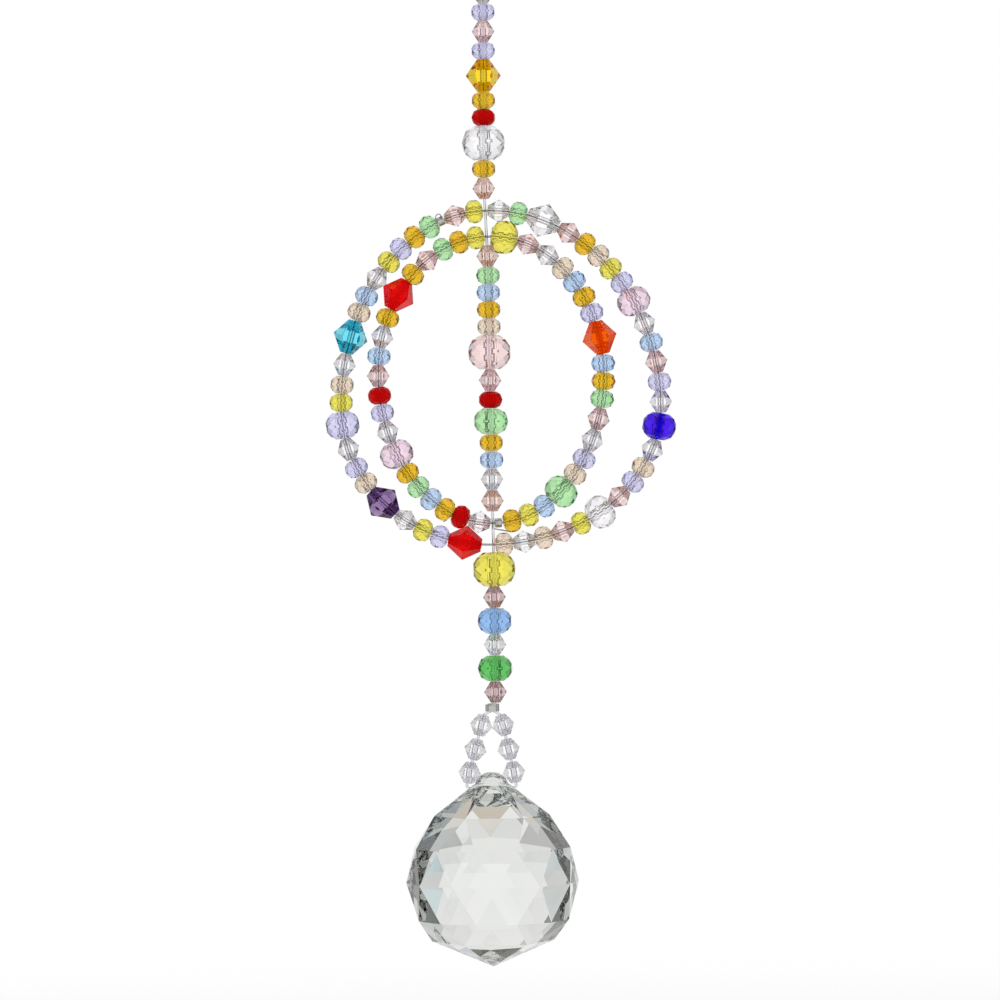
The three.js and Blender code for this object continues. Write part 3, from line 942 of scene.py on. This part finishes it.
@dataclass
class Ball:
    """The cut crystal ball with its bored neck, in millimetres about its own middle.

    Attributes:
        turned: Degrees that the hung ball has turned about its thread.
        bore_radius: The radius of the hole through its neck.
        edge: The width of its softened edges.
        way: The light's usual way through it, short enough to keep it bright.
        rows: Its rows of corners, upwards.
        neck: Radius and height of each step of the dome on its neck, upwards.
        bore_height: The hole's height above the ball's middle.
    """

    turned: float = 3.0
    bore_radius: float = 0.65
    edge: float = 0.1
    way: float = 9.5
    rows: tuple[CornerRow, ...] = (
        CornerRow(0.03, -14.9, 3),
        CornerRow(10.9, -10.3, 6, 30),
        CornerRow(13.8, -6.4, 12, 15),
        CornerRow(15.4, 0.2, 12),
        CornerRow(14.2, 6.4, 12, 15),
        CornerRow(10.3, 12.0, 6, 30),
        CornerRow(3.05, 17.65, 24),
    )
    neck: Pairs = (
        (2.9, 17.95), (2.6, 18.55), (2.05, 19.1), (1.35, 19.5), (0.6, 19.7),
    )

    bore_height = 16.8

    @classmethod
    def middle_in_frame(cls) -> Vector:
        """The ball's middle, in millimetres in the frame."""
        foot, _ = ends_of("crystal_ball")
        return Vector((middle_of("crystal_ball").x, 0, foot - cls.rows[0].height))

    def round_neck(self, ball: Piece) -> None:
        """Draws the flat top of the neck up into a dome.

        Args:
            ball: The cut ball.
        """
        Bench.open(ball)
        almost_level = 0.99
        Bench.select_faces(ball, lambda face: face.normal.z > almost_level)
        last_radius, last_height = self.rows[-1].radius, self.rows[-1].height
        for radius, height in self.neck:
            rise = (0, 0, height - last_height)
            bpy.ops.mesh.extrude_region_move(TRANSFORM_OT_translate={"value": rise})
            share = radius / last_radius
            bpy.ops.transform.resize(value=(share, share, 1), center_override=(0, 0, height))
            last_radius, last_height = radius, height
        Bench.close()

    def build(self) -> None:
        """Cuts the ball, rounds its neck and bores it."""
        ball = cut_stone("cut_ball", self.rows)
        self.round_neck(ball)
        soften_edges(ball, self.edge, least_angle=9.0)
        dome_foot = self.rows[-1].height + 0.1
        Bench.smooth_faces(ball, lambda face: face.center.z > dome_foot)
        sideways = Matrix.Translation((0, 0, self.bore_height)) @ turn_about("Y", 90)
        drill_place = turn_about("Z", -self.turned) @ sideways
        bore(ball, self.bore_radius, length=30.0, turned=drill_place, sides=24)
        ball.data.transform(Matrix.Translation(self.middle_in_frame()) @ turn_about("Z", self.turned))
        Bench.settle(ball)
        glass = Glass.CRYSTAL
        hang_in_frame(ball, glass.value.slot, glass.material(self.way), ["crystal_ball"])


# ---- the oval rings


@dataclass
class Oval:
    """The wire's line of an oval ring: four quarter-ellipses, clockwise from the top, in millimetres.

    Attributes:
        right, left, up, down: Half-sizes from the oval's centre.
        aside: The centre's place to the right of the strand.
        below: How far the highest point lies under the beads above the rings.
        set_back: How far its top stands behind the thread.
        lean, turn: Degrees that it leans back and has turned.
        steps: Steps in its table.
        table: Angle, length so far and point at each step.
    """

    right: float
    left: float
    up: float
    down: float
    aside: float
    below: float
    set_back: float
    lean: float
    turn: float
    steps: int = 720
    table: list[tuple[float, float, Vector]] = field(default_factory=list)

    def __post_init__(self) -> None:
        """Works out the oval's height and its length up to each step."""
        self.centre_height = Crossings.above - self.below - self.up
        self.length = 0.0
        last = self.at(0.0)
        for step in range(self.steps + 1):
            angle = 2 * math.pi * step / self.steps
            point = self.at(angle)
            self.length += (point - last).length
            self.table.append((angle, self.length, point))
            last = point

    def at(self, angle: float) -> Vector:
        """Finds a point of the oval.

        Args:
            angle: Its angle from the top.

        Returns:
            The point.
        """
        x, z = math.sin(angle), math.cos(angle)
        across = self.right if x > 0 else self.left
        upright = self.up if z > 0 else self.down
        return Vector((self.aside + across * x, 0, self.centre_height + upright * z))

    def along(self, length: float) -> tuple[Vector, Vector]:
        """Follows the wire.

        Args:
            length: The length along it.

        Returns:
            The place and the direction of the wire there.
        """
        wanted = length % self.length
        index = 1
        while self.table[index][1] < wanted and index < self.steps:
            index += 1
        (start, before, _), (end, after, _) = self.table[index - 1], self.table[index]
        angle = start + (end - start) * (wanted - before) / (after - before)
        small = 0.002
        direction = (self.at(angle + small) - self.at(angle - small)).normalized()
        return self.at(angle), direction

    def crossing(self, at_top: bool) -> float:
        """Finds where the wire crosses the thread.

        Args:
            at_top: True for the crossing at the top, False for the one at the foot.

        Returns:
            The length along the wire.
        """
        half = [row for row in self.table if (math.cos(row[0]) > 0) == at_top]
        length = min(half, key=lambda row: abs(row[2].x - Crossings.aside(row[2].z)))[1]
        return length - self.length if at_top and length > self.length / 2 else length

    def standing(self) -> Matrix:
        """How the ring is set back, leans and has turned about the top where it crosses the thread.

        Returns:
            The move from the oval's own plane to its place.
        """
        top = self.along(self.crossing(True))[0].z
        place, to_top = Matrix.Translation((0, self.set_back, top)), Matrix.Translation((0, 0, -top))
        return place @ turn_about("X", self.lean) @ turn_about("Z", self.turn) @ to_top

    def bead_place(self, length: float) -> Matrix:
        """Finds how a bead on the wire stands.

        Args:
            length: The length along the wire of the bead's middle.

        Returns:
            The bead's place, with its bore along Z.
        """
        point, direction = self.along(length)
        outwards = Vector((0, 1, 0)).cross(direction).normalized()
        back = direction.cross(outwards).normalized()
        turned = Matrix((outwards, back, direction)).transposed().to_4x4()
        return self.standing() @ Matrix.Translation(point) @ turned


class Crossings:
    """Where the bare thread passes in front of the rings, in millimetres.

    Attributes:
        above, inside_top, inside_foot, below: Heights of the beads' ends on either side of the rings.
        knees: The thread's sideways place at each of these heights, downwards.
    """

    above = ends_of("strand_17_peach_bicone")[0] - CAD_GAP / 2
    inside_top = ends_of("strand_18_peach_bicone")[1] + CAD_GAP / 2
    inside_foot = ends_of("strand_30_peach_bicone")[0] - CAD_GAP / 2
    below = ends_of("strand_31_yellow_rondelle")[1] + CAD_GAP / 2
    knees = ((above, -0.45), (inside_top, 0.1), (inside_foot, 0.45), (below, 0.6))

    @classmethod
    def aside(cls, height: float) -> float:
        """Finds the thread's sideways place.

        Args:
            height: A height between the crossings.

        Returns:
            Its place to the right there.
        """
        for (high, start), (low, end) in zip(cls.knees, cls.knees[1:]):
            if height >= low:
                share = min(max((high - height) / (high - low), 0.0), 1.0)
                return start + (end - start) * share
        return cls.knees[-1][1]


def beads_of(run: str) -> list[tuple[Bead, Glass]]:
    """The kinds and colours of a run of beads, each written as its kind's letter and its colour."""
    return [(Bead[kind], Glass[colour.upper()]) for kind, colour in map(str.split, run.split(","))]


def length_of(run: str) -> float:
    """The length of a run of beads in millimetres, each at its own pitch."""
    return sum(bead.value.pitch for bead, _ in beads_of(run))


@dataclass
class BeadRing:
    """An oval ring of beads on a wire, with its crimp.

    Attributes:
        name: The CAD node's name.
        oval: The wire's line.
        runs: Start and end of each run of beads, as lengths along the wire, and its beads.
        box: The bead box.
        ends: Ways of the loose wire ends, in millimetres from the middle of the ring's crimp.
        wire_radius: The wire's radius in millimetres.
        end_radius: The radius of a loose end.
    """

    name: str
    oval: Oval
    runs: Sequence[tuple[float, float, str]]
    box: BeadBox
    ends: tuple[tuple[Triple, ...], ...]
    wire_radius: float = 0.2
    end_radius: float = 0.12

    def string_beads(self) -> None:
        """Strings every bead of the ring, with a flat towards the other ring."""
        number = 1
        for reached, end, run in self.runs:
            ease = (end - reached) / length_of(run)
            for bead, glass in beads_of(run):
                length = bead.value.pitch * ease
                name = f"bead_{self.name}_{number:02d}_{glass.name.lower()}_{bead.value.cut.value}"
                place = self.oval.bead_place(reached + length / 2)
                self.box.string(name, bead, glass, place, [self.name], ease=ease, tilt=1.5)
                reached += length
                number += 1

    def wire(self) -> None:
        """Lays the wire right round the ring."""
        steps = 160
        standing = self.oval.standing()
        points = [standing @ self.oval.along(self.oval.length * i / steps)[0] for i in range(steps)]
        line = Line(WIRE, 2 * self.wire_radius, self.wire_radius)
        line.lay(f"{self.name}_wire", self.name, points, closed=True)

    def loose_ends(self) -> None:
        """Lays the short ends of wire that stick out beside the crimp and the beads."""
        middle = middle_of(f"{self.name}_crimp")
        line = Line(WIRE, 2 * self.wire_radius, self.end_radius, sides=8)
        for number, way in enumerate(self.ends, start=1):
            points = self.rounded([middle + Vector(knot) for knot in way])
            line.lay(f"{self.name}_wire_end_{number}", self.name, points)

    @staticmethod
    def rounded(knots: Sequence[Vector]) -> list[Vector]:
        """A smooth way through a wire's knots.

        Args:
            knots: The points that it passes.

        Returns:
            Points close together along it.
        """
        points = [knots[0]]
        for index, (start, end) in enumerate(zip(knots, knots[1:])):
            before = knots[max(index - 1, 0)]
            after = knots[min(index + 2, len(knots) - 1)]
            handles = (start + (end - before) / 6, end - (after - start) / 6)
            points += bend([start, *handles, end], steps=5)[1:]
        return points

    def build(self) -> None:
        """Builds the ring's beads, its wire and the wire's loose ends."""
        self.string_beads()
        self.wire()
        self.loose_ends()


OUTER_RIGHT = (
    "b clear, r green, B clear, b pink, r gold, r champagne, r yellow, r lavender, R orchid, b clear,"
    "r blue, b pink, r lavender, b clear, R cobalt, b clear, r champagne, r lavender, b pink, R clear,"
    "r yellow, b pink, r champagne, b clear, r champagne"
)
OUTER_LEFT = (
    "B ruby, r lavender, r yellow, b clear, B purple, r champagne, r lavender, b clear, R lavender,"
    "r yellow, r champagne, b clear, B aqua, r champagne, r blue, b clear, r yellow, r lavender,"
    "r gold, r green"
)
OUTER_LAST = "b pink, r yellow"
INNER_RIGHT = (
    "R yellow, b pink, b clear, r champagne, r blue, r gold, r lavender, B orange, r blue, r gold,"
    "r green, b pink, b clear, r lavender, r champagne, R green, r blue, r yellow, r gold"
)
INNER_LEFT = (
    "b clear, r garnet, r gold, r blue, r green, r gold, R orchid, b clear, r lavender, r garnet,"
    "b pink, r blue, b clear, r gold, B ruby, r gold, b pink, r green, r gold, r yellow"
)


def outer_ring(box: BeadBox) -> BeadRing:
    """Sets out the outer ring.

    Args:
        box: The bead box.

    Returns:
        The ring, ready to build.
    """
    size = {"right": 30.5, "left": 26.6, "up": 35.0, "down": 24.6}
    oval = Oval(**size, aside=0.2, below=2.0, set_back=0.8, lean=2.1, turn=-2.0)
    top, foot = oval.crossing(True), oval.crossing(False)
    end = oval.length + top - BESIDE_THREAD
    half_crimp = WIRE_CRIMP_LENGTH / 2
    crimp_room = 0.1
    bare_wire = 2.0
    crimp = end - length_of(OUTER_LAST) - 2 * crimp_room - half_crimp
    runs = [
        (top + BESIDE_THREAD, foot - BESIDE_THREAD, OUTER_RIGHT),
        (foot + bare_wire, crimp - half_crimp - crimp_room, OUTER_LEFT),
        (crimp + half_crimp + crimp_room, end, OUTER_LAST),
    ]
    curl = (
        (-0.72, -0.1, -0.2), (-0.95, -0.2, 0.3), (-0.95, -0.25, 0.8), (-0.65, -0.2, 1.2),
        (-0.2, -0.1, 1.2), (0.05, 0.0, 0.85),
    )
    return BeadRing("outer_ring", oval, runs, box, (curl,))


def inner_ring(box: BeadBox) -> BeadRing:
    """Sets out the inner ring.

    Args:
        box: The bead box.

    Returns:
        The ring, ready to build.
    """
    size = {"right": 20.05, "left": 20.3, "up": 24.4, "down": 26.7}
    oval = Oval(**size, aside=0.6, below=6.6, set_back=1.15, lean=0.6, turn=5.0)
    top, foot = oval.crossing(True), oval.crossing(False)
    half_crimp = WIRE_CRIMP_LENGTH / 2
    first_room, crimp_room, last_room = 0.2, 0.25, 0.15
    crimp = foot - BESIDE_THREAD - half_crimp
    runs = [
        (top + BESIDE_THREAD + first_room, crimp - half_crimp - crimp_room, INNER_RIGHT),
        (foot + BESIDE_THREAD, oval.length + top - BESIDE_THREAD - last_room, INNER_LEFT),
    ]
    tucked = (
        (-0.8, -0.2, -0.3), (-0.8, -0.5, -0.9), (-0.2, -1.0, -1.15), (1.0, -1.4, -1.35),
        (2.2, -1.6, -1.6),
    )
    tail = ((-8.35, -0.7, 1.4), (-8.9, -0.8, 0.9), (-9.75, -0.95, 0.3))
    return BeadRing("inner_ring", oval, runs, box, (tucked, tail))


# ---- metal fittings


@dataclass
class Fittings:
    """The hanging ring and the four crimps.

    Attributes:
        metal: Their material.
        wall: The thickness of a crimp's wall in millimetres.
        pinches: Heights along a crimp as a share of its length, and how flat it is there.
    """

    metal: bpy.types.Material
    wall: float = 0.3
    pinches: Pairs = (
        (-0.5, 1.0), (-0.36, 1.03), (-0.2, 0.93), (0.0, 0.88), (0.2, 0.93), (0.36, 1.03),
        (0.5, 1.0),
    )

    def hanging_ring(self) -> None:
        """Bends a round bar into a ring whose ends almost meet, at the right-hand side."""
        size = size_of("hanging_ring")
        wire = size.y / 2
        middle = (size.x / 2 - wire, 0, 0)
        Bench.clear()
        bpy.ops.mesh.primitive_circle_add(vertices=20, radius=wire, location=middle)
        ring = Bench.added("ring_hanging")
        Bench.open(ring)
        bpy.ops.mesh.spin(steps=96, angle=math.radians(358), center=(0, 0, 0), axis=(0, 1, 0))
        bpy.ops.mesh.select_all(action="SELECT")
        bpy.ops.mesh.remove_doubles(threshold=0.0005)
        bpy.ops.mesh.select_all(action="DESELECT")
        bpy.ops.mesh.select_non_manifold()
        bpy.ops.mesh.fill_holes(sides=0)
        Bench.close()
        soften_edges(ring, 0.06, least_angle=60, segments=2, offset_type="OFFSET")
        bpy.ops.object.shade_smooth_by_angle(angle=math.radians(40))
        ring.location = middle_of("hanging_ring")
        Bench.settle(ring)
        hang_in_frame(ring, SILVER.slot, self.metal, ["hanging_ring"])

    def tube(
        self, name: str, node: str, radius: float, length: float, spread: float, turned: Matrix
    ) -> None:
        """Makes one crimp: a short pinched tube, spread for threads that lie side by side.

        Args:
            name: The piece's name.
            node: The CAD node that it stands for.
            radius: The tube's radius in millimetres.
            length: Its length.
            spread: How far each half is moved from the middle.
            turned: How it stands about the node's middle.
        """
        sides = 40
        Bench.clear()
        bpy.ops.mesh.primitive_circle_add(
            vertices=sides,
            radius=radius,
            location=(0, 0, -length / 2),
            rotation=(0, 0, math.pi / sides),
        )
        tube = Bench.added(name)
        Bench.open(tube)
        for (low, before), (high, share) in zip(self.pinches, self.pinches[1:]):
            rise = (0, 0, (high - low) * length)
            bpy.ops.mesh.extrude_region_move(TRANSFORM_OT_translate={"value": rise})
            flatter = (1, share / before, 1)
            bpy.ops.transform.resize(value=flatter, center_override=(0, 0, high * length))
        bpy.ops.object.mode_set(mode="OBJECT")
        for half in (1, -1):
            for vertex in tube.data.vertices:
                vertex.select = vertex.co.x * half > 0
            bpy.ops.object.mode_set(mode="EDIT")
            bpy.ops.mesh.select_mode(type="VERT")
            bpy.ops.transform.translate(value=(half * spread, 0, 0))
            bpy.ops.mesh.select_all(action="DESELECT")
            bpy.ops.object.mode_set(mode="OBJECT")
        Bench.open(tube)
        Bench.close()
        Bench.modify(tube, "SOLIDIFY", thickness=self.wall, offset=-1.0)
        soften_edges(tube, 0.07, least_angle=50, segments=2, offset_type="OFFSET")
        bpy.ops.object.shade_smooth_by_angle(angle=math.radians(35))
        tube.data.transform(Matrix.Translation(middle_of(node)) @ turned)
        Bench.settle(tube)
        hang_in_frame(tube, SILVER.slot, self.metal, [node])

    def build(self, rings: Sequence[BeadRing]) -> None:
        """Makes the hanging ring and every crimp.

        Args:
            rings: The bead rings, whose crimps lie along their wires.
        """
        self.hanging_ring()
        flat = size_of("drop_crimp")
        spread = (flat.x - flat.y) / 2
        for name, node, turn in (("upper", "hanging_loop_crimp", 90), ("lower", "drop_crimp", 0)):
            self.tube(f"crimp_{name}", node, flat.y / 2, flat.z, spread, turn_about("Z", turn))
        for ring in rings:
            node = f"{ring.name}_crimp"
            inside = ring.oval.standing().inverted() @ middle_of(node)
            nearest = min(ring.oval.table, key=lambda row: (row[2] - inside).length)
            turned = ring.oval.bead_place(nearest[1]).to_3x3().to_4x4()
            size = {"radius": WIRE_CRIMP_RADIUS, "length": WIRE_CRIMP_LENGTH, "spread": 0.0}
            self.tube(f"crimp_{ring.name}", node, **size, turned=turned)


# ---- the studio


@dataclass
class Studio:
    """The camera, the light all round, a soft light overhead and a pale floor.

    Attributes:
        middle: What the camera looks at, in millimetres.
        frame_width: The width that it takes in there.
        distance: How far it stands from there.
        roll: Degrees that the camera leans to its right.
        floor_drop: How far the floor lies under the lowest point.
        brightness: The strength of the room's light.
        walls: The walls' colours, by degrees from straight behind to straight in front.
        heights: Colours by degrees above the level, which also shade the walls.
        caps: Where floor and ceiling take over from the walls, by degrees above the level.
    """

    middle: tuple[float, float] = (1.8, -135.0)
    frame_width: float = 178.1
    distance: float = 825.0
    roll: float = 0.67
    floor_drop: float = 70.0
    brightness: float = 1.05
    walls: Stops = (
        (0, 1.0), (15, 1.0), (20, (0.92, 0.92, 0.91)), (32, (0.88, 0.88, 0.87)), (35, 0.62),
        (41, (0.70, 0.70, 0.69)), (43, (0.66, 0.82, 0.86)), (45, (0.20, 0.22, 0.22)),
        (48, (0.22, 0.22, 0.20)), (50, (0.85, 0.80, 0.72)), (52, (0.85, 0.90, 0.92)), (54, 0.05),
        (80, (0.05, 0.05, 0.06)), (84, 1.05), (97, 1.05), (100, (0.55, 0.46, 0.35)),
        (103, (0.25, 0.25, 0.26)), (114, (0.25, 0.25, 0.26)), (117, (0.66, 0.74, 0.90)),
        (126, (0.75, 0.80, 0.90)), (129, (0.25, 0.25, 0.26)), (140, (0.25, 0.25, 0.26)),
        (146, 0.75), (180, 0.85),
    )
    heights: Stops = (
        (-90, 0.9), (-68, 0.9), (-66, 0.08), (-56, 0.08), (-53, (0.70, 0.70, 0.72)),
        (-48, (0.62, 0.55, 0.46)), (-42, (0.76, 0.73, 0.67)), (-39, 0.9), (-34, 0.9), (-31, 0.6),
        (-29, 0.6), (-26, 0.9), (-14, 0.92), (-9, 1.0), (9, 1.0), (15, 0.94), (44, 0.88),
        (48, (0.52, 0.66, 0.82)), (51, (0.07, 0.07, 0.08)), (62, (0.07, 0.07, 0.08)), (65, 0.9),
        (90, 1.1),
    )
    caps: Stops = ((-90, 1.0), (-34, 1.0), (-28, 0.0), (44, 0.0), (48, 1.0), (90, 1.0))

    def camera(self) -> None:
        """Sets up the level camera in front."""
        Bench.clear()
        x, z = self.middle
        place = Vector((x, -self.distance, z)) * MM
        level = math.radians(90)
        bpy.ops.object.camera_add(location=place, rotation=(level, math.radians(self.roll), 0))
        camera = bpy.context.object
        camera.data.sensor_width = 36.0
        camera.data.lens = camera.data.sensor_width * self.distance / self.frame_width
        camera.data.clip_start = 0.01
        camera.data.clip_end = 50.0
        bpy.context.scene.camera = camera

    def surroundings(self) -> None:
        """Lights the room: pale walls and ceiling with a few dark gaps, and plain white behind."""
        world = bpy.data.worlds.new("studio")
        bpy.context.scene.world = world
        world.use_nodes = True
        sheet = NodeSheet(world.node_tree)
        split = sheet.add("ShaderNodeSeparateXYZ")
        sheet.link(sheet.add("ShaderNodeTexCoord").outputs["Generated"], split.inputs[0])
        x, y, z = split.outputs
        around = sheet.calculate("ABSOLUTE", sheet.calculate("ARCTAN2", x, y))
        aside = sheet.calculate("MULTIPLY", around, 1 / math.pi)
        height = sheet.calculate("MULTIPLY_ADD", sheet.calculate("ARCSINE", z), 1 / math.pi, 0.5)
        walls, heights, caps = (
            sheet.ramp(share, [(angle / 180 + level, shade) for angle, shade in stops])
            for share, level, stops in (
                (aside, 0.0, self.walls),
                (height, 0.5, self.heights),
                (height, 0.5, self.caps),
            )
        )
        shaded = sheet.add("ShaderNodeMix", data_type="RGBA", blend_type="MULTIPLY")
        room = sheet.add("ShaderNodeMix", data_type="RGBA")
        shaded.inputs["Factor"].default_value = 1.0
        first, second, mixed = 6, 7, 2  # the sockets of a mix that hold colours
        sheet.link(walls, shaded.inputs[first])
        sheet.link(heights, shaded.inputs[second])
        sheet.link(caps, room.inputs["Factor"])
        sheet.link(shaded.outputs[mixed], room.inputs[first])
        sheet.link(heights, room.inputs[second])
        light, plain = (sheet.add("ShaderNodeBackground") for _ in range(2))
        sheet.set(light, Strength=self.brightness)
        sheet.link(room.outputs[mixed], light.inputs["Color"])
        sheet.set(plain, Color=(1, 1, 1, 1))
        either = sheet.add("ShaderNodeMixShader")
        camera_ray = sheet.add("ShaderNodeLightPath").outputs["Is Camera Ray"]
        for source, target in zip((camera_ray, light.outputs[0], plain.outputs[0]), either.inputs):
            sheet.link(source, target)
        sheet.link(either.outputs[0], sheet.add("ShaderNodeOutputWorld").inputs["Surface"])

    def top_light(self) -> None:
        """Hangs a wide soft light overhead for the floor."""
        Bench.clear()
        bpy.ops.object.light_add(type="AREA", location=(0, 0, 1.6))
        lamp = bpy.context.object
        lamp.data.shape = "DISK"
        lamp.data.size = 2.0
        lamp.data.energy = 14.0
        lamp.visible_camera = False
        lamp.visible_transmission = False
        lamp.visible_glossy = False

    def floor(self) -> None:
        """Lays a round pale floor under the suncatcher, as stage."""
        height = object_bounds()[0].z - self.floor_drop * MM
        Bench.clear()
        bpy.ops.mesh.primitive_circle_add(
            vertices=96, radius=0.85, fill_type="NGON", location=(0, 0, height)
        )
        floor = Bench.added("floor")
        sheet = ShaderSheet("pale_floor")
        pale = sheet.ramp(sheet.noise(scale=40.0, detail=3.0), [(0.3, 0.93), (0.7, 0.95)])
        sheet.link(pale, sheet.shader.inputs["Base Color"])
        sheet.set(sheet.shader, Roughness=0.9)
        reach = sheet.add("ShaderNodeVectorMath", operation="LENGTH")
        sheet.link(sheet.add("ShaderNodeTexCoord").outputs["Object"], reach.inputs[0])
        fade = sheet.add("ShaderNodeMapRange", interpolation_type="SMOOTHSTEP")
        sheet.set(fade, From_Min=0.25, From_Max=0.8, To_Min=1.0, To_Max=0.0)
        sheet.link(reach.outputs["Value"], fade.inputs["Value"])
        sheet.link(fade.outputs["Result"], sheet.shader.inputs["Alpha"])
        floor.data.materials.append(sheet.material)
        floor.visible_transmission = False
        floor.visible_glossy = False
        floor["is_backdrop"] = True

    def set_look(self) -> None:
        """Shows plain screen colours and lets light find its way through many stones."""
        scene = bpy.context.scene
        scene.view_settings.view_transform = "Standard"
        scene.cycles.max_bounces = 18
        scene.cycles.transmission_bounces = 18
        scene.cycles.glossy_bounces = 16
        scene.cycles.volume_bounces = 0

    def build(self) -> None:
        """Builds the studio."""
        self.camera()
        self.surroundings()
        self.top_light()
        self.floor()
        self.set_look()


# ---- all of it


def main() -> None:
    """Builds every piece in order."""
    logging.basicConfig(level=logging.INFO, format="%(name)s: %(message)s")
    box = BeadBox()
    rings = [outer_ring(box), inner_ring(box)]
    for ring in rings:
        ring.build()
    Strand(box).build()
    Ball().build()
    Fittings(SILVER.material()).build(rings)
    Studio().build()


if __name__ == "__main__":
    main()
